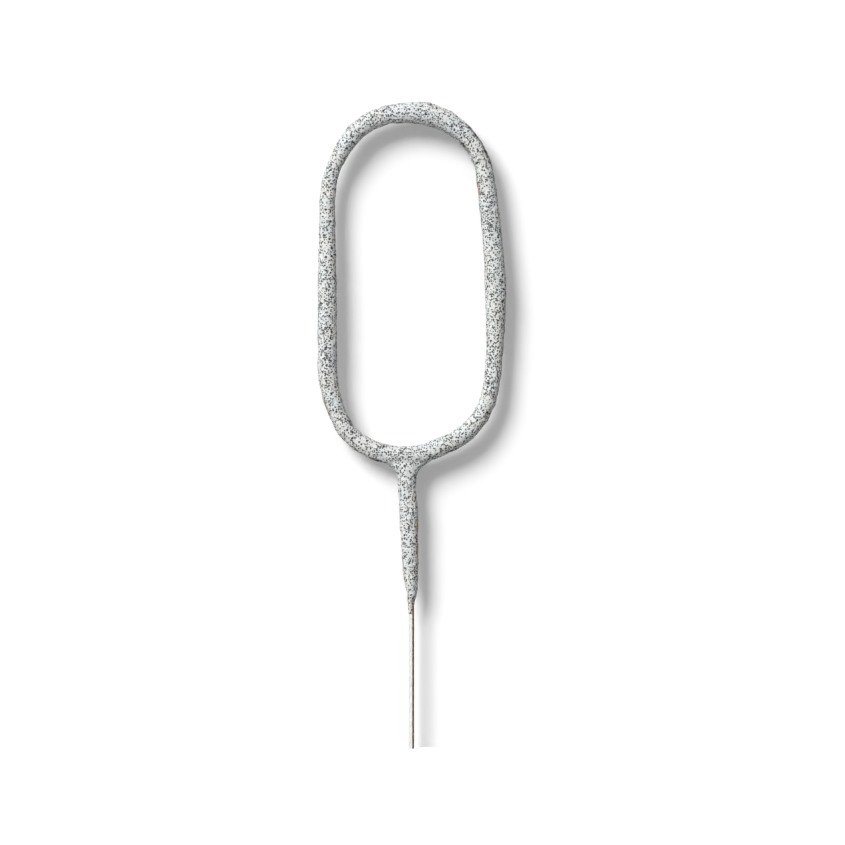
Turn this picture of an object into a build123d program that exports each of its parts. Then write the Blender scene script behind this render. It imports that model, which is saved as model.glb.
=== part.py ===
from build123d import *
import os
from math import radians, tan

# A sparkler bent as the figure zero: one steel wire and the coat of spark mixture dried on it.
# The figure stands upright in the XZ plane and is seen along +Y.
# The origin is the middle of the wire's cut lower end, and the leg runs up the Z axis.

os.makedirs("parts", exist_ok=True)

# Wire, in millimetres like every size here
wire_diameter = 1.2
bare_length = 31.5
leg_lean = 0.4
neck_height = 69.0
neck_ease = 1.6
tail_length = 17.0
tail_gap = 0.2

# Loop of the zero, on the wire's centre line
loop_width = 40.5
loop_height = 83.7

# Film of mixture that runs out on the wire below the thick coat
film_thickness = 0.25
film_edge = 0.06
film_length = 3.8

# Thick coat, uneven from dipping: its swells are shares of its thickness, at equal steps along each half
# of the loop, over the top from the right limb to the left one, then through the foot back to the right
coat_thickness = 1.55
upper_swells = [1.10, 1.25, 1.10, 1.08, 0.90, 1.10, 1.41, 1.06, 1.05, 0.70, 0.80, 0.87, 1.03]
lower_swells = [1.03, 1.05, 1.08, 1.07, 0.90, 0.96, 1.08, 1.05, 1.01, 0.89, 0.87, 0.86, 1.10]
ring_sections = 25

# Neck: the ring's centre line passes above the wire's bends, and a web joins it to the stem
ring_rise = 1.15
web_height = 4.6
tail_cover = 2.0

wire_radius = wire_diameter / 2
tail_pitch = wire_diameter + tail_gap
tail_foot = neck_height - tail_length
loop_top = neck_height + loop_height
ring_base = neck_height + ring_rise
web_foot = ring_base - web_height
stem_foot = bare_length + film_length
lean_foot = bare_length + film_length / 2
lean_slope = leg_lean / (neck_height - lean_foot)
lean_radius = film_length / lean_slope


def low(share, rise):
    """Bend point by its share of the half width and its height above the neck."""
    return (share * loop_width / 2, neck_height + rise)


def high(share, drop):
    """Bend point by its share of the half width and its depth below the loop's top."""
    return (share * loop_width / 2, loop_top - drop)


# Bends of the loop, from the neck up the right limb, over the top and down the left limb
lower_right = [low(0.67, 6.4), low(0.915, 13.5), low(0.985, 23.8)]
upper_right = [low(1.005, 44.6), high(0.85, 10.5), high(0.53, 3.1), high(0.19, 0.0)]
upper_left = [high(-0.27, 0.0), high(-0.67, 3.8), high(-1.00, 15.2)]
lower_left = [low(-1.00, 18.2), low(-0.82, 7.9), low(-0.585, 3.5)]
loop_bends = [*lower_right, *upper_right, *upper_left, *lower_left]


def leg_at(height):
    """Point of the leg's centre line above the coat's lower end, from where it leans a little."""
    return (-lean_slope * (height - lean_foot), height)


def tail_at(height):
    """Point of the tail's centre line, which runs beside the leg."""
    return (leg_at(height)[0] - tail_pitch, height)


def toward(corner, other, distance):
    """Point at a distance from a corner on the straight run to another point."""
    run = Vector(other) - Vector(corner)
    point = Vector(corner) + run.normalized() * distance
    return (point.X, point.Y)


# The wire is bent tightly: once at each slight bend of the loop, and in two steps at each side of the neck
tight_bends = [
    leg_at(neck_height - neck_ease),
    toward(leg_at(neck_height), loop_bends[0], neck_ease),
    *loop_bends,
    toward(tail_at(neck_height), loop_bends[-1], neck_ease),
    tail_at(neck_height - neck_ease),
]

with BuildPart() as core_wire:
    with BuildLine(Plane.XZ):
        FilletPolyline(
            (0, 0),
            leg_at(lean_foot),
            *tight_bends,
            tail_at(tail_foot),
            radius=[lean_radius, *[0] * len(tight_bends)],
        )
    with BuildSketch(Plane.XY):
        Circle(wire_radius)
    sweep(transition=Transition.ROUND)

core_wire.part.label = "core_wire"
export_step(core_wire.part, "parts/core_wire.step")


def midway(one, other):
    """Point halfway between two points."""
    return ((one[0] + other[0]) / 2, (one[1] + other[1]) / 2)


def widest_radii(points):
    """Radius at each inner point, as large as the two runs beside it leave room for."""
    run_share = 0.48
    radii = []
    for before, corner, after in zip(points, points[1:], points[2:]):
        run_in = Vector(corner) - Vector(before)
        run_out = Vector(after) - Vector(corner)
        half_turn = radians(run_in.get_angle(run_out) / 2)
        radii.append(run_share * min(run_in.length, run_out.length) / tan(half_turn))
    return radii


def swell_at(swells, share):
    """Swell at a share of the way along the list, eased from each value to the next."""
    place = share * (len(swells) - 1)
    before = min(int(place), len(swells) - 2)
    blend = place - before
    blend = blend * blend * (3 - 2 * blend)
    return swells[before] * (1 - blend) + swells[before + 1] * blend


def across_neck(neck, bend):
    """Point at the ring's base on the straight run from the neck to a bend."""
    share = (ring_base - neck[1]) / (bend[1] - neck[1])
    return (neck[0] + share * (bend[0] - neck[0]), ring_base)


# The coat's ring runs on across the neck, where the wire turns down into the stem
right_base = across_neck(leg_at(neck_height), lower_right[0])
left_base = across_neck(tail_at(neck_height), lower_left[-1])
upper_ring = [lower_right[-1], *upper_right, *upper_left, lower_left[0]]
lower_ring = [upper_left[-1], *lower_left, left_base, right_base, *lower_right, upper_right[0]]

# Sections of the stem's coat: height, then the cover left of the wires, right of the leg, and in front
# and behind, as shares of the coat's thickness. Up to the tail's end there is one wire, above it a pair.
foot_run = tail_foot - stem_foot
pair_run = web_foot - tail_foot
single_sections = [
    (stem_foot, 0.23, 0.26, 0.23),
    (stem_foot + 0.13 * foot_run, 0.29, 0.47, 0.45),
    (stem_foot + 0.31 * foot_run, 0.76, 0.65, 0.74),
    (stem_foot + 0.52 * foot_run, 0.95, 0.74, 0.87),
]
paired_sections = [
    (tail_foot - tail_cover, 0.20, 0.68, 0.87),
    (tail_foot + 0.38 * pair_run, 0.44, 0.76, 0.87),
    (tail_foot + 0.78 * pair_run, 0.50, 0.46, 0.90),
    (web_foot, 0.72, 0.65, 0.90),
    (ring_base - 0.75 * web_height, 1.06, 0.94, 0.90),
    (ring_base - 0.54 * web_height, 1.66, 1.54, 0.87),
    (ring_base - 0.35 * web_height, 2.45, 2.35, 0.77),
    (ring_base - 0.17 * web_height, 3.27, 3.12, 0.65),
    (ring_base + 0.20 * web_height, 1.85, 1.96, 0.39),
]

with BuildPart() as spark_coat:
    # Film below the stem
    with Locations((0, 0, bare_length)):
        Cone(
            wire_radius + film_edge,
            wire_radius + film_thickness,
            film_length,
            align=(Align.CENTER, Align.CENTER, Align.MIN),
        )
    # Stem, with the web that spreads up into the ring
    for sections, pitch in ((single_sections, 0), (paired_sections, tail_pitch)):
        for height, left, right, depth in sections:
            middle = leg_at(height)[0] + (coat_thickness * (right - left) - pitch) / 2
            reach = (coat_thickness * (right + left) + wire_diameter + pitch) / 2
            with BuildSketch(Plane((middle, 0, height), x_dir=(1, 0, 0), z_dir=(0, 0, 1))):
                Ellipse(reach, wire_radius + coat_thickness * depth)
    loft(ruled=True, clean=False)
    # Ring, in two halves that meet on the straight limbs
    for points, swells in ((upper_ring, upper_swells), (lower_ring, lower_swells)):
        with BuildLine(Plane.XZ) as half_ring:
            FilletPolyline(
                midway(points[0], points[1]),
                *points[1:-1],
                midway(points[-2], points[-1]),
                radius=widest_radii(points),
            )
        path = half_ring.wire()
        for step in range(ring_sections):
            share = step / (ring_sections - 1)
            with BuildSketch(Plane(path @ share, x_dir=(0, 1, 0), z_dir=path % share)):
                Circle(wire_radius + coat_thickness * swell_at(swells, share))
        loft(ruled=True, clean=False)
    add(core_wire.part, mode=Mode.SUBTRACT, clean=False)

spark_coat.part.label = "spark_coat"
export_step(spark_coat.part, "parts/spark_coat.step")
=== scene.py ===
# %% [markdown]
# # A figure-zero sparkler
# The real thing is a steel wire bent as a zero and dipped in a grey slurry of metal powder, which
# dries to a rough, speckled skin. Below the skin the wire is bare, to hold or to push into a cake.
# The solids come from CAD and give every size. Blender adds what CAD leaves out: lumps, grain,
# pores and finishes.

# %% Load the frame
from math import radians

import bmesh
import bpy
from mathutils import Euler, Matrix, Vector, noise
from mathutils.bvhtree import BVHTree


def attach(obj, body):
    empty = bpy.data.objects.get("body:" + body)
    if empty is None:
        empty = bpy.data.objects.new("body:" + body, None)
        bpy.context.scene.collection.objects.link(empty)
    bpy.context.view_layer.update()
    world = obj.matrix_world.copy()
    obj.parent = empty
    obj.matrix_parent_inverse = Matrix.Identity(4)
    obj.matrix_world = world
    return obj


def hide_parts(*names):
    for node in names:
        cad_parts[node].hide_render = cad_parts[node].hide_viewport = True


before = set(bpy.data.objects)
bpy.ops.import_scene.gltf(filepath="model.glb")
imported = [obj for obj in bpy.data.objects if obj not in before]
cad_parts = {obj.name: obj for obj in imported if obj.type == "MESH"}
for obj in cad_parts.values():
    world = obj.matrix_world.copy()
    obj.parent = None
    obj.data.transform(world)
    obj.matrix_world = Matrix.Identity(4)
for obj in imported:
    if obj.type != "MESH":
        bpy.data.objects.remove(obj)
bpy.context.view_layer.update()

scene = bpy.context.scene
scene.view_settings.view_transform = "Standard"

# %% [markdown]
# ## The camera
# The photograph looks straight at the figure, and its upright lines stay parallel, so the camera
# stands far away with a long lens. An orthographic camera would look almost the same, but a photograph
# is taken through a lens. It shows about 0.24 mm of the object in each pixel, which gives the width of
# the picture at the figure, and the focal length follows from that width.

# %% Camera
PHOTO_SIDE = 845
METRES_PER_PIXEL = 0.00024
PHOTO_LEG_X = 411.6
PHOTO_TIP_Y = 748.5
CAMERA_DISTANCE = 1.5

camera_data = bpy.data.cameras.new("camera")
camera = bpy.data.objects.new("camera", camera_data)
scene.collection.objects.link(camera)
scene.camera = camera
picture_width = PHOTO_SIDE * METRES_PER_PIXEL
picture_x = (PHOTO_SIDE / 2 - PHOTO_LEG_X) * METRES_PER_PIXEL
picture_z = (PHOTO_TIP_Y - PHOTO_SIDE / 2) * METRES_PER_PIXEL
camera_data.lens = camera_data.sensor_width * CAMERA_DISTANCE / picture_width
camera.location = (picture_x, -CAMERA_DISTANCE, picture_z)
camera.rotation_euler = Euler((radians(90), 0, 0))
print("lens:", round(camera_data.lens), "mm, picture width:", round(picture_width, 4), "m")

# %% [markdown]
# ## The light
# A pale object on white needs one soft lamp from the upper left and a fill from all round. An area lamp
# would be soft too, but it is weaker farther away. A sun is as strong everywhere, and its wide angle
# gives the shadow its soft edge. A second, weak sun behind the figure lights only its back.

# %% Lamps
LAMP_ANGLE = radians(26)
LAMP_FROM = Vector((-0.66, -1.0, 0.77))
LAMP_LEVEL = 2.75
BACK_FROM = Vector((0.2, 1.0, 0.5))
BACK_LEVEL = 1.0


def sun(name, source, level, shine):
    """Adds a soft sun that shines from a direction, and says how much of it shiny surfaces mirror."""
    data = bpy.data.lights.new(name, "SUN")
    data.energy = level
    data.angle = LAMP_ANGLE
    data.specular_factor = shine
    lamp = bpy.data.objects.new(name, data)
    lamp.rotation_euler = source.to_track_quat("Z", "Y").to_euler()
    scene.collection.objects.link(lamp)


sun("soft_lamp", LAMP_FROM, LAMP_LEVEL, shine=1)
sun("back_lamp", BACK_FROM, BACK_LEVEL, shine=0)
print("lamp from", [round(v, 2) for v in LAMP_FROM.normalized()], "at level", LAMP_LEVEL)

# %% [markdown]
# The world fills the shade, and it is a node tree: boxes with input and output sockets, joined by links.
# A picture of a studio could light the scene too, but a few nodes are easier to steer. The tree starts
# with two nodes: one gives the direction in which a ray leaves, and one tells what kind of ray it is.

# %% Empty world
def add_node(tree, kind, **values):
    """Adds a shader node, and sets its settings and the inputs that have the given names."""
    node = tree.nodes.new(kind)
    for name, value in values.items():
        if name in node.inputs:
            node.inputs[name].default_value = value
        else:
            setattr(node, name, value)
    return node


world = bpy.data.worlds.new("studio")
scene.world = world
world.use_nodes = True
sky = world.node_tree
sky.nodes.clear()
direction = add_node(sky, "ShaderNodeTexCoord")
path = add_node(sky, "ShaderNodeLightPath")
print("world:", world.name, "starts with", [node.name for node in sky.nodes])

# %% [markdown]
# More light fills in from the upper left and the front than from the lower right and behind, so that the
# right and lower edges turn darker. Metal mirrors a sharper change, from white on the left and in front
# to a dim brown on the right and behind, as it would in a room with one window. Both are a blend of two
# colours along an axis. An input gets its value from another node's output or, where nothing is linked
# to it, from its own socket.

# %% Tones of the world
FILL_AXIS = (0.64, 0.43, -0.64)
FILL_LIT = (0.73, 0.73, 0.73, 1)
FILL_SHADE = (0.01, 0.01, 0.01, 1)
SHINE_AXIS = (0.88, 0.475, 0)
SHINE_START = -0.27
SHINE_END = 0.25
SHINE_BRIGHT = (1.08, 1.11, 1.11, 1)
SHINE_DIM = (0.14, 0.07, 0.02, 1)
# Places of the colour sockets in a Mix node, which has others for numbers and vectors
MIX_SHARE = 0
MIX_FIRST = 6
MIX_SECOND = 7
MIX_RESULT = 2


def feed(socket, value):
    """Links another node's output to an input socket, or sets a plain value on it."""
    if isinstance(value, bpy.types.NodeSocket):
        socket.id_data.links.new(value, socket)
    else:
        socket.default_value = value


def ranged(tree, value, low, high, new_low=0, new_high=1):
    """Output that runs from new_low to new_high while the value runs from low to high."""
    node = add_node(tree, "ShaderNodeMapRange")
    feed(node.inputs["Value"], value)
    feed(node.inputs["From Min"], low)
    feed(node.inputs["From Max"], high)
    feed(node.inputs["To Min"], new_low)
    feed(node.inputs["To Max"], new_high)
    return node.outputs[0]


def mixed(tree, share, first, second, blend="MIX"):
    """Output of a colour that goes from the first to the second while the share goes from 0 to 1."""
    node = add_node(tree, "ShaderNodeMix", data_type="RGBA", blend_type=blend)
    feed(node.inputs[MIX_SHARE], share)
    feed(node.inputs[MIX_FIRST], first)
    feed(node.inputs[MIX_SECOND], second)
    return node.outputs[MIX_RESULT]


def across(axis, start, end, first, second):
    """Output of a colour that goes from the first to the second between two places on an axis."""
    along = add_node(sky, "ShaderNodeVectorMath", operation="DOT_PRODUCT")
    feed(along.inputs[0], direction.outputs["Generated"])
    feed(along.inputs[1], axis)
    return mixed(sky, ranged(sky, along.outputs["Value"], start, end), first, second)


fill_tone = across(FILL_AXIS, -1, 1, FILL_LIT, FILL_SHADE)
shine_tone = across(SHINE_AXIS, SHINE_START, SHINE_END, SHINE_BRIGHT, SHINE_DIM)
print("tones: fill along", FILL_AXIS, "shine along", SHINE_AXIS)

# %% [markdown]
# The kind of ray picks the tone: what metal mirrors is the shine, and all other light is the fill. To the
# camera the world shows plain white, as in the photograph.

# %% World for each kind of ray
WHITE = (1, 1, 1, 1)

fill = add_node(sky, "ShaderNodeBackground", Strength=1.0)
feed(fill.inputs["Color"], mixed(sky, path.outputs["Is Glossy Ray"], fill_tone, shine_tone))
white = add_node(sky, "ShaderNodeBackground", Color=WHITE, Strength=1.0)
choose = add_node(sky, "ShaderNodeMixShader")
feed(choose.inputs[0], path.outputs["Is Camera Ray"])
feed(choose.inputs[1], fill.outputs[0])
feed(choose.inputs[2], white.outputs[0])
world_out = add_node(sky, "ShaderNodeOutputWorld")
feed(world_out.inputs["Surface"], choose.outputs[0])
print("world:", world.name, "nodes:", len(sky.nodes))

# %% [markdown]
# ## The floor and the paper behind
# The wire's tip stands on a floor that looks white. A white one would throw much light up at the figure,
# so the floor is grey, and for the camera it gets some light of its own, just enough to reach white. The
# wire doesn't mirror it.

# %% Floor
STAGE_SIDE = 3.0
FLOOR_DROP = 0.0001
FLOOR_GREY = (0.3, 0.3, 0.3, 1)
FLOOR_LIFT = 0.8


def new_material(name):
    """Adds a material with an empty node tree, and returns both."""
    material = bpy.data.materials.new(name)
    material.use_nodes = True
    material.node_tree.nodes.clear()
    return material, material.node_tree


def show(tree, shader):
    """Makes a shader the surface of its material."""
    out = add_node(tree, "ShaderNodeOutputMaterial")
    feed(out.inputs["Surface"], shader)


def calc(tree, operation, *values):
    """Output of a math node."""
    node = add_node(tree, "ShaderNodeMath", operation=operation)
    for socket, value in zip(node.inputs, values):
        feed(socket, value)
    return node.outputs[0]


def stage_sheet(name, place):
    """Adds a large square sheet of the stage, and returns it with its material's empty node tree."""
    mesh = bpy.data.meshes.new(name)
    shape = bmesh.new()
    bmesh.ops.create_grid(shape, x_segments=1, y_segments=1, size=STAGE_SIDE / 2, matrix=place)
    shape.to_mesh(mesh)
    shape.free()
    sheet = bpy.data.objects.new(name, mesh)
    scene.collection.objects.link(sheet)
    material, tree = new_material(name)
    mesh.materials.append(material)
    return sheet, tree


floor, floor_tree = stage_sheet("floor", Matrix.Translation((0, 0, -FLOOR_DROP)))
path = add_node(floor_tree, "ShaderNodeLightPath")
lift = calc(floor_tree, "MULTIPLY", path.outputs["Is Camera Ray"], FLOOR_LIFT)
matt = add_node(floor_tree, "ShaderNodeBsdfDiffuse", Color=FLOOR_GREY)
glow = add_node(floor_tree, "ShaderNodeEmission", Color=WHITE)
feed(glow.inputs["Strength"], lift)
both = add_node(floor_tree, "ShaderNodeAddShader")
feed(both.inputs[0], matt.outputs[0])
feed(both.inputs[1], glow.outputs[0])
show(floor_tree, both.outputs[0])
floor.visible_glossy = False
print("floor:", floor.name, "nodes:", len(floor_tree.nodes))

# %% [markdown]
# The soft shadow in the photograph lies to the right of the figure and below it, where a floor can't take
# it. So a sheet of white paper hangs close behind the figure. Only the camera sees it, and only from the
# front, so that it neither lights the figure nor hides it from behind.

# %% Paper
PAPER_BEHIND = 0.0054
PAPER_WHITE = (0.97, 0.97, 0.97, 1)

upright = Euler((radians(90), 0, 0)).to_matrix().to_4x4()
hung = Matrix.Translation((0, PAPER_BEHIND, STAGE_SIDE / 2)) @ upright
paper, paper_tree = stage_sheet("paper", hung)
side = add_node(paper_tree, "ShaderNodeNewGeometry")
matt = add_node(paper_tree, "ShaderNodeBsdfDiffuse", Color=PAPER_WHITE)
clear = add_node(paper_tree, "ShaderNodeBsdfTransparent")
choose = add_node(paper_tree, "ShaderNodeMixShader")
feed(choose.inputs[0], side.outputs["Backfacing"])
feed(choose.inputs[1], matt.outputs[0])
feed(choose.inputs[2], clear.outputs[0])
show(paper_tree, choose.outputs[0])
paper.visible_diffuse = False
paper.visible_glossy = False
paper.visible_transmission = False
paper.visible_shadow = False
print("paper:", paper.name, "faces", paper.data.polygons[0].normal)

# %% [markdown]
# ## The coat's shape
# A dipped coat is lumpy in two ways: it swells and thins along the wire, which the solid already
# shows, and it is grainy all over. To roughen it, its surface needs many small, even faces, and
# subdividing would only cut up the solid's long, thin triangles. The Remesh modifier makes new faces
# round the shape instead. The solid also has a tunnel for the wire, which nobody sees, so the faces of
# the tunnel go first and its mouth is closed.

# %% Take the outside of the coat's solid
MM = 0.001
# In millimetres, as all sizes of the coat below
MERGE_REACH = 0.001
TUNNEL_REACH = 0.04


def in_millimetres(node):
    """Copy of a CAD node's mesh as a bmesh, in millimetres, with its loose triangles merged."""
    shape = bmesh.new()
    shape.from_mesh(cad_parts[node].data)
    bmesh.ops.scale(shape, vec=(1 / MM, 1 / MM, 1 / MM), verts=shape.verts)
    bmesh.ops.remove_doubles(shape, verts=shape.verts, dist=MERGE_REACH)
    return shape


wire_shape = in_millimetres("core_wire")
wire_surface = BVHTree.FromBMesh(wire_shape)
coat_shape = in_millimetres("spark_coat")
coat_foot = min(vertex.co.z for vertex in coat_shape.verts)
tunnel = []
for face in coat_shape.faces:
    nearest, normal, index, distance = wire_surface.find_nearest(face.calc_center_median())
    if distance < TUNNEL_REACH:
        tunnel.append(face)
print("coat faces:", len(coat_shape.faces), "tunnel faces:", len(tunnel))
bmesh.ops.delete(coat_shape, geom=tunnel, context="FACES")
mouth = [edge for edge in coat_shape.edges if edge.is_boundary]
bmesh.ops.holes_fill(coat_shape, edges=mouth, sides=0)
open_edges = [edge for edge in coat_shape.edges if not edge.is_manifold]
print("mouth edges:", len(mouth), "edges still open:", len(open_edges))

# %% [markdown]
# In voxel mode the modifier fills the shape with small cubes and wraps a skin of even faces round them. A
# Smooth modifier takes away the steps that the cubes leave.

# %% Remesh the coat in even faces
VOXEL = 0.22
SOFTEN_SHARE = 0.5
SOFTEN_ROUNDS = 12

coat_mesh = bpy.data.meshes.new("coat_outside")
coat_shape.to_mesh(coat_mesh)
coat_shape.free()
wire_shape.free()
rough_coat = bpy.data.objects.new("coat_outside", coat_mesh)
scene.collection.objects.link(rough_coat)
even = rough_coat.modifiers.new("even_faces", "REMESH")
even.mode = "VOXEL"
even.voxel_size = VOXEL
soften = rough_coat.modifiers.new("soften", "SMOOTH")
soften.factor = SOFTEN_SHARE
soften.iterations = SOFTEN_ROUNDS


def kept(thing):
    """The thing's mesh as its modifiers leave it."""
    return bpy.data.meshes.new_from_object(thing.evaluated_get(bpy.context.evaluated_depsgraph_get()))


rough_coat.data = kept(rough_coat)
rough_coat.modifiers.clear()
print("even faces:", len(rough_coat.data.polygons))

# %% [markdown]
# ## The film on the wire
# Below the thick coat a thin film clings to the front left of the wire, and the wire's right side is
# already bare. A finish that is see-through in places could show that, but a real edge also has a shape.
# So the film's vertices on that side are drawn in below the wire's own surface. Near the film's lower
# end a noise draws in some more of them, and the film ends in a ragged edge.

# %% Break up the film
FILM_REACH = 5.1
FILM_FADE = 2.8
FILM_BARE_FROM = 0.1
FILM_BARE_TO = 0.4
RAG_HEIGHT = 1.1
RAG_UNEVEN = 0.9
RAG_SCALE = 1.6
SUNK_RADIUS = 0.5

film_top = coat_foot + FILM_REACH
drawn_in = 0
for vertex in rough_coat.data.vertices:
    spot = vertex.co
    radius = spot.xy.length
    if spot.z > film_top or radius <= SUNK_RADIUS:
        continue
    fade = min(1, (film_top - spot.z) / FILM_FADE)
    bare_side = (spot.x - FILM_BARE_FROM) / (FILM_BARE_TO - FILM_BARE_FROM)
    rag = 1 - (spot.z - coat_foot) / RAG_HEIGHT + RAG_UNEVEN * noise.noise(spot * RAG_SCALE)
    sink = fade * max(0, min(1, max(bare_side, rag)))
    scale = 1 + sink * (SUNK_RADIUS / radius - 1)
    vertex.co = (spot.x * scale, spot.y * scale, spot.z)
    if sink > 0:
        drawn_in += 1
print("film from", round(coat_foot, 1), "to", round(film_top, 1), "mm, vertices drawn in:", drawn_in)

# %% [markdown]
# ## Lumps, grain and pits
# A coat could be sculpted by hand, but textures cover all of it alike and can be changed by a number.
# Displace modifiers push the surface in and out along its normal by the grey of a texture. Two clouds
# textures give the lumps of a hand-dipped coat, a finer one gives grain that breaks up the outline, and
# a Voronoi texture, which is dark around each of its points, gives pits. They work in the mesh's own
# millimetres. The middle grey lies a little low, so the coat gains back what the smoothing took.

# %% Lumps, grain and pits
MIDDLE_GREY = 0.42
# Name, kind of texture, size and height of each relief
RELIEF = (
    ("soft_lumps", "CLOUDS", 3.2, 0.36),
    ("small_lumps", "CLOUDS", 1.1, 0.16),
    ("grain", "CLOUDS", 0.42, 0.12),
    ("pits", "VORONOI", 0.75, 0.10),
)

for name, kind, size, height in RELIEF:
    texture = bpy.data.textures.new(name, kind)
    texture.noise_scale = size
    push = rough_coat.modifiers.new(name, "DISPLACE")
    push.texture = texture
    push.texture_coords = "LOCAL"
    push.mid_level = MIDDLE_GREY
    push.strength = height

print("reliefs:", [push.name for push in rough_coat.modifiers])

# %% [markdown]
# The result is kept as a plain mesh and scaled back to metres. It takes the place of the coat's solid in
# the picture, and rides on the same body.

# %% Put the coat in its place
finished = kept(rough_coat)
bpy.data.objects.remove(rough_coat)
finished.transform(Matrix.Scale(MM, 4))
finished.name = "dipped_coat"
finished.shade_smooth()
coat = bpy.data.objects.new("dipped_coat", finished)
scene.collection.objects.link(coat)
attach(coat, "root")
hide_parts("spark_coat")
finished.calc_loop_triangles()
print("coat triangles:", len(finished.loop_triangles))

# %% [markdown]
# ## The coat's finish
# The dried mixture is pale and matt, with dark pores and stains, and painted shade in its creases, pits
# and some edges. A picture would need the coat unwrapped and would show its pixels close up, so the
# finish is made of textures that fill space. They take the object's own coordinates, here in millimetres.
# A noise can bend these, so that what a texture draws with them is ragged.

# %% Coordinates for the coat's textures
mixture, skin = new_material("spark_mixture")
place = add_node(skin, "ShaderNodeTexCoord")
enlarged = add_node(skin, "ShaderNodeVectorMath", operation="SCALE", Scale=1 / MM)
feed(enlarged.inputs[0], place.outputs["Object"])
millimetres = enlarged.outputs[0]


def noise_at(vector, scale, detail=2.0, output="Fac"):
    """Output of a noise texture with this many bumps in a millimetre."""
    node = add_node(skin, "ShaderNodeTexNoise", Scale=scale, Detail=detail)
    feed(node.inputs["Vector"], vector)
    return node.outputs[output]


def bent(scale, reach):
    """Coordinates that a noise bends by up to about the reach."""
    node = add_node(skin, "ShaderNodeVectorMath", operation="MULTIPLY_ADD")
    feed(node.inputs[0], noise_at(millimetres, scale, output="Color"))
    feed(node.inputs[1], (2 * reach, 2 * reach, 2 * reach))
    feed(node.inputs[2], millimetres)
    return node.outputs[0]


print("coat material:", mixture.name, "starts with", [node.name for node in skin.nodes])

# %% [markdown]
# Pores are left where bubbles and iron grains broke the skin. Voronoi textures give them: a point near a
# cell's centre is in a pore, and the cell's own random colour says how wide and how dark that pore is.
# Their dark is partly the grains' own colour and partly painted shade, in place of the shadow inside the
# pits. Small pores lie everywhere, with a few large ones among them.

# %% Pores
# Cells in a millimetre, and the least and the greatest radius of a pore as shares of a cell
SMALL_PORES = (2.1, 0.30, 0.52)
LARGE_PORES = (0.8, 0.10, 0.29)
PORE_SCATTER = 0.8
PORE_CORE = 0.8
PORE_FAINTEST = 0.88
PORE_BEND_SCALE = 1.7
PORE_BEND = 0.09


def pore_mask(vector, cells_per_mm, least, most):
    """Output that is near 1 in pores and 0 between them."""
    cells = add_node(skin, "ShaderNodeTexVoronoi", Scale=cells_per_mm, Randomness=PORE_SCATTER)
    feed(cells.inputs["Vector"], vector)
    chance = add_node(skin, "ShaderNodeSeparateColor")
    feed(chance.inputs[0], cells.outputs["Color"])
    radius = ranged(skin, chance.outputs["Red"], 0, 1, least, most)
    core = calc(skin, "MULTIPLY", radius, PORE_CORE)
    inside = ranged(skin, cells.outputs["Distance"], core, radius, 1, 0)
    return calc(skin, "MULTIPLY", inside, ranged(skin, chance.outputs["Green"], 0, 1, PORE_FAINTEST, 1))


ragged = bent(PORE_BEND_SCALE, PORE_BEND)
pores = calc(skin, "MAXIMUM", pore_mask(ragged, *SMALL_PORES), pore_mask(ragged, *LARGE_PORES))
print("pores:", SMALL_PORES[0], "and", LARGE_PORES[0], "in a millimetre, nodes:", len(skin.nodes))

# %% [markdown]
# Here and there the drying skin has drawn together in short creases. The edges of large Voronoi cells
# give them. They would form a net, so a noise keeps only patches of it. Their dark is painted shade, in
# place of the shadow that falls into the creases.

# %% Creases
CREASE_CELLS = 0.4
CREASE_WIDTH = 0.12
CREASE_BEND_SCALE = 0.6
CREASE_BEND = 0.9
CREASE_PATCH_SCALE = 0.5
CREASE_PATCH_FROM = 0.58
CREASE_PATCH_TO = 0.64


def crease_mask(vector):
    """Output that is 1 along some of the edges between large cells, and 0 elsewhere."""
    cells = add_node(skin, "ShaderNodeTexVoronoi", feature="DISTANCE_TO_EDGE", Scale=CREASE_CELLS)
    feed(cells.inputs["Vector"], vector)
    line = ranged(skin, cells.outputs["Distance"], 0, CREASE_WIDTH * CREASE_CELLS, 1, 0)
    patch = ranged(skin, noise_at(vector, CREASE_PATCH_SCALE), CREASE_PATCH_FROM, CREASE_PATCH_TO)
    return calc(skin, "MULTIPLY", line, patch)


creases = crease_mask(bent(CREASE_BEND_SCALE, CREASE_BEND))
holes_and_shade = calc(skin, "MAXIMUM", pores, creases)
print("with creases, nodes:", len(skin.nodes))

# %% [markdown]
# Between the pores a fine noise mottles the skin, and a wide one lets its grey drift between cool and
# warm. The pores and creases then darken it: partly with the dark grains' own colour, and partly with
# painted shade in the pits and creases.

# %% Colour of the skin
PALE_COOL = (0.710, 0.738, 0.738, 1)
PALE_WARM = (0.734, 0.738, 0.718, 1)
# The dark of pores and creases: the grains' own colour, with painted shade for the pits and creases
PORE_DARK_AND_SHADE = (0.036, 0.038, 0.036, 1)
DRIFT_SCALE = 0.2
DRIFT_FROM = 0.4
DRIFT_TO = 0.6
GRAIN_SCALE = 2.3
GRAIN_DETAIL = 3.0
GRAIN_FROM = 0.32
GRAIN_TO = 0.6
MOTTLE_DARK = 0.83
MOTTLE_PALE = 1.03

drift = ranged(skin, noise_at(millimetres, DRIFT_SCALE), DRIFT_FROM, DRIFT_TO)
grain = noise_at(millimetres, GRAIN_SCALE, detail=GRAIN_DETAIL)
mottled = add_node(skin, "ShaderNodeVectorMath", operation="SCALE")
feed(mottled.inputs[0], mixed(skin, drift, PALE_COOL, PALE_WARM))
feed(mottled.inputs["Scale"], ranged(skin, grain, GRAIN_FROM, GRAIN_TO, MOTTLE_DARK, MOTTLE_PALE))
# Pores and creases darken the skin, partly as grain colour and partly as painted shade
speckled = mixed(skin, holes_and_shade, mottled.outputs[0], PORE_DARK_AND_SHADE)
print("with the colour of the skin, nodes:", len(skin.nodes))
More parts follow.
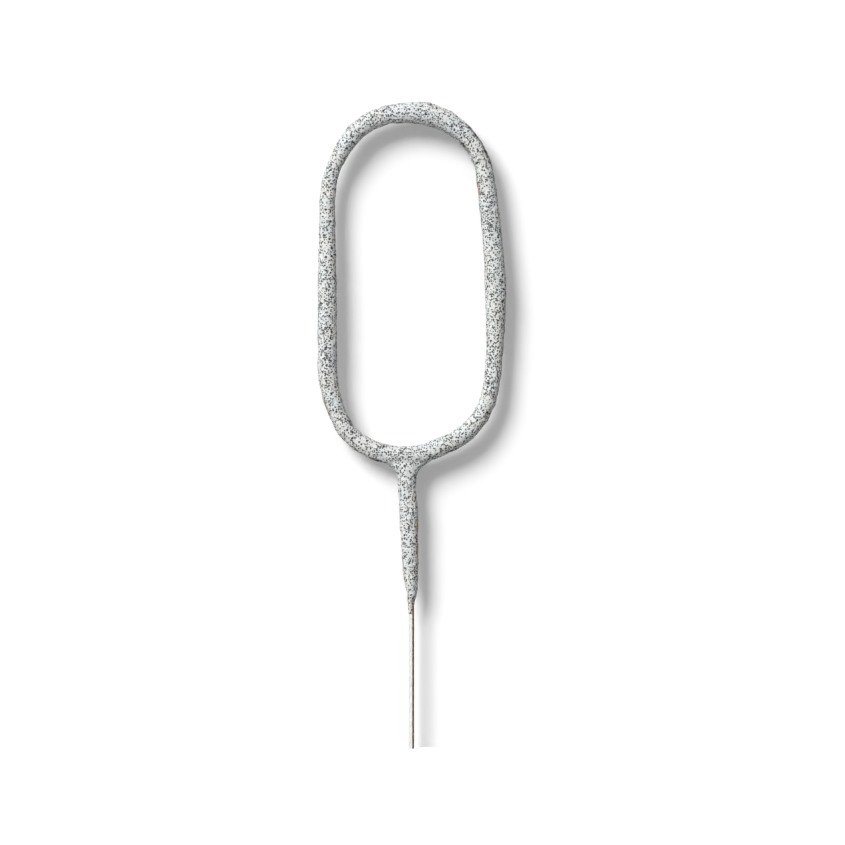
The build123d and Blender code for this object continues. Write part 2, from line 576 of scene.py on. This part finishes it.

# %% [markdown]
# In a few places along its edges and on the film the real coat is stained brown. At the right shoulder
# and at the left bend and foot, dark marks are painted shade in the bends and along the edges. They could
# be painted on the vertices, but ellipsoids stay where they are when the mesh changes. Each is long and
# thin and leans along the edge, a little in front of the wire. The Mapping node turns it into a ball of
# radius 1, and the mark fades out between its core and its skin. A noise breaks the marks up.

# %% Stains and painted shade
MARK_ACROSS = 0.6
MARK_DEEP = 1.2
MARK_FORWARD = -0.7
MARK_CORE = 0.6
BREAK_SCALE = 1.2
BREAK_FROM = 0.35
BREAK_TO = 0.6
BREAK_LEAST = 0.3
STAIN_TINT = (0.68, 0.53, 0.40, 1)
# Dark tint of the painted shade marks
SHADE_TINT = (0.19, 0.165, 0.14, 1)
# Name, X and Z of the middle, half the length, and the lean in degrees of each mark
STAINS = (
    ("right_limb_inside", (15.8, 135.0), 5.6, -11),
    ("left_limb_outside", (-20.6, 82.2), 3.8, -18),
    ("right_limb_outside", (18.0, 80.8), 4.2, 31),
    ("stem_right", (1.35, 51.0), 6.5, 2),
    ("film_front", (0.05, 34.2), 3.0, 0),
)
# Marks of painted shade in the bends and along the edges, with the same columns
SHADE_MARKS = (
    ("shoulder_above", (14.6, 147.7), 4.2, -42),
    ("shoulder_below", (18.0, 142.4), 4.0, -22),
    ("shoulder_inside", (12.4, 145.0), 5.0, -40),
    ("left_bend_inside", (-15.0, 78.3), 2.2, -36),
    ("left_foot_below", (-8.5, 69.2), 2.4, -67),
)

broken = ranged(skin, noise_at(millimetres, BREAK_SCALE), BREAK_FROM, BREAK_TO, BREAK_LEAST, 1)


def marked(colour, marks, tint):
    """Output of a colour that takes a tint where the marks lie."""
    share = 0.0
    for name, (x, z), length, lean in marks:
        ball = add_node(skin, "ShaderNodeMapping", vector_type="TEXTURE", name=name)
        feed(ball.inputs["Vector"], millimetres)
        feed(ball.inputs["Location"], (x, MARK_FORWARD, z))
        feed(ball.inputs["Rotation"], (0, radians(lean), 0))
        feed(ball.inputs["Scale"], (MARK_ACROSS, MARK_DEEP, length))
        away = add_node(skin, "ShaderNodeVectorMath", operation="LENGTH")
        feed(away.inputs[0], ball.outputs[0])
        share = calc(skin, "MAXIMUM", share, ranged(skin, away.outputs["Value"], MARK_CORE, 1, 1, 0))
    return mixed(skin, calc(skin, "MULTIPLY", share, broken), colour, tint, blend="MULTIPLY")


stained = marked(speckled, STAINS, STAIN_TINT)
# The dark marks are painted shade
stained_and_shaded = marked(stained, SHADE_MARKS, SHADE_TINT)
print("stains:", len(STAINS), "seams:", len(SHADE_MARKS))

# %% [markdown]
# The grain, the pores and the creases also feed a Bump node, which tilts the shading so that they look
# raised or sunk. The shader itself is rough, with hardly any shine.

# %% Relief and shader of the coat
BUMP_SHARE = 0.9
BUMP_DEPTH = 0.15
COAT_ROUGHNESS = 0.92
COAT_SHINE = 0.2

relief = add_node(skin, "ShaderNodeBump", Strength=BUMP_SHARE, Distance=BUMP_DEPTH * MM)
feed(relief.inputs["Height"], calc(skin, "SUBTRACT", grain, holes_and_shade))
matt = add_node(skin, "ShaderNodeBsdfPrincipled", Roughness=COAT_ROUGHNESS)
feed(matt.inputs["Specular IOR Level"], COAT_SHINE)
feed(matt.inputs["Base Color"], stained_and_shaded)
feed(matt.inputs["Normal"], relief.outputs[0])
show(skin, matt.outputs[0])
finished.materials.clear()
finished.materials.append(mixture)
print("coat finish:", mixture.name, "nodes:", len(skin.nodes))

# %% [markdown]
# ## The wire's finish
# The wire is drawn steel with a thin brown tarnish. It mirrors the bright part of the studio on the
# lamp's side and the dim brown part on the other. The drawing die leaves fine lines along the wire. An
# anisotropic shader would stretch the highlights as such lines do, but a noise that is stretched along
# the leg shows the lines themselves. It varies the colour, the roughness and a faint bump.

# %% Wire material
STEEL_BROWN = (0.66, 0.61, 0.55, 1)
STEEL_GREY = (0.82, 0.84, 0.84, 1)
TARNISH_FROM = 0.3
TARNISH_TO = 0.6
# Bumps of the noise in a millimetre, across the wire and along it
DRAWN_LINES = (6, 6, 0.7)
LINE_DETAIL = 4.0
LINE_SHARE = 0.2
LINE_DEPTH = 0.02
ROUGHNESS_LEAST = 0.18
ROUGHNESS_MOST = 0.34

steel, wire_tree = new_material("drawn_steel")
place = add_node(wire_tree, "ShaderNodeTexCoord")
stretched = add_node(wire_tree, "ShaderNodeMapping")
feed(stretched.inputs["Vector"], place.outputs["Object"])
feed(stretched.inputs["Scale"], Vector(DRAWN_LINES) / MM)
drawn = add_node(wire_tree, "ShaderNodeTexNoise", Scale=1.0, Detail=LINE_DETAIL)
feed(drawn.inputs["Vector"], stretched.outputs[0])
lines = drawn.outputs["Fac"]
tarnish = mixed(wire_tree, ranged(wire_tree, lines, TARNISH_FROM, TARNISH_TO), STEEL_BROWN, STEEL_GREY)
die_lines = add_node(wire_tree, "ShaderNodeBump", Strength=LINE_SHARE, Distance=LINE_DEPTH * MM)
feed(die_lines.inputs["Height"], lines)
metal = add_node(wire_tree, "ShaderNodeBsdfPrincipled", Metallic=1.0)
feed(metal.inputs["Base Color"], tarnish)
feed(metal.inputs["Roughness"], ranged(wire_tree, lines, 0, 1, ROUGHNESS_LEAST, ROUGHNESS_MOST))
feed(metal.inputs["Normal"], die_lines.outputs[0])
show(wire_tree, metal.outputs[0])
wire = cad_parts["core_wire"]
wire.data.materials.clear()
wire.data.materials.append(steel)
print("wire finish:", steel.name, "nodes:", len(wire_tree.nodes))
